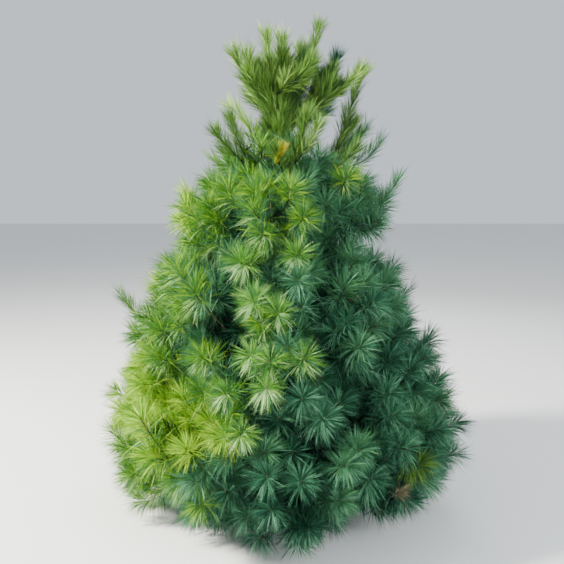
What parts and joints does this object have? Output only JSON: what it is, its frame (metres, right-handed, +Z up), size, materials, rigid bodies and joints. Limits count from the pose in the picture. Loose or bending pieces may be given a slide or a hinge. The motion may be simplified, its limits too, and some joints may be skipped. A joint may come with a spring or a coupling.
{
  "type": "pine tree",
  "caption": "Young rooted pine with a broad tapering crown: long soft needles burst from the ends of whorled boughs, and a fan of upright shoots tops it.",
  "frame": {"origin": "middle of the flat cut under the trunk, at ground level", "axes": "+Z up along the trunk, -Y towards the front of the tree, +X to the right seen from the front"},
  "size_m": [1.879, 1.9076, 2.4537],
  "materials": {
    "bark": "rough grey-brown bark",
    "bough_bark": "thin brown bark",
    "needles": "soft blue-green needles",
    "young_needles": "soft yellow-green needles"
  },
  "bodies": {
    "root": {"trunk": "bark", "skirt_1_bough": "bough_bark", "skirt_1_foliage": "needles", "skirt_2_bough": "bough_bark", "skirt_2_foliage": "needles", "skirt_3_bough": "bough_bark", "skirt_3_foliage": "needles", "skirt_4_bough": "bough_bark", "skirt_4_foliage": "needles", "skirt_5_bough": "bough_bark", "skirt_5_foliage": "needles", "lower_1_bough": "bough_bark", "lower_1_foliage": "needles", "lower_2_bough": "bough_bark", "lower_2_foliage": "needles", "lower_3_bough": "bough_bark", "lower_3_foliage": "needles", "lower_4_bough": "bough_bark", "lower_4_foliage": "needles", "lower_5_bough": "bough_bark", "lower_5_foliage": "needles", "middle_1_bough": "bough_bark", "middle_1_foliage": "needles", "middle_2_bough": "bough_bark", "middle_2_foliage": "needles", "middle_3_bough": "bough_bark", "middle_3_foliage": "needles", "middle_4_bough": "bough_bark", "middle_4_foliage": "needles", "middle_5_bough": "bough_bark", "middle_5_foliage": "needles", "upper_1_bough": "bough_bark", "upper_1_foliage": "needles", "upper_2_bough": "bough_bark", "upper_2_foliage": "needles", "upper_3_bough": "bough_bark", "upper_3_foliage": "needles", "upper_4_bough": "bough_bark", "upper_4_foliage": "needles", "upper_5_bough": "bough_bark", "upper_5_foliage": "needles", "shoulder_1_bough": "bough_bark", "shoulder_1_foliage": "needles", "shoulder_2_bough": "bough_bark", "shoulder_2_foliage": "needles", "shoulder_3_bough": "bough_bark", "shoulder_3_foliage": "needles", "shoulder_4_bough": "bough_bark", "shoulder_4_foliage": "needles", "shoulder_5_bough": "bough_bark", "shoulder_5_foliage": "needles", "neck_1_foliage": "young_needles", "neck_2_foliage": "young_needles", "neck_3_foliage": "young_needles", "neck_4_foliage": "young_needles", "vase_1_foliage": "young_needles", "vase_2_foliage": "young_needles", "vase_3_foliage": "young_needles", "vase_4_foliage": "young_needles", "leader_foliage": "young_needles"}
  },
  "joints": []
}
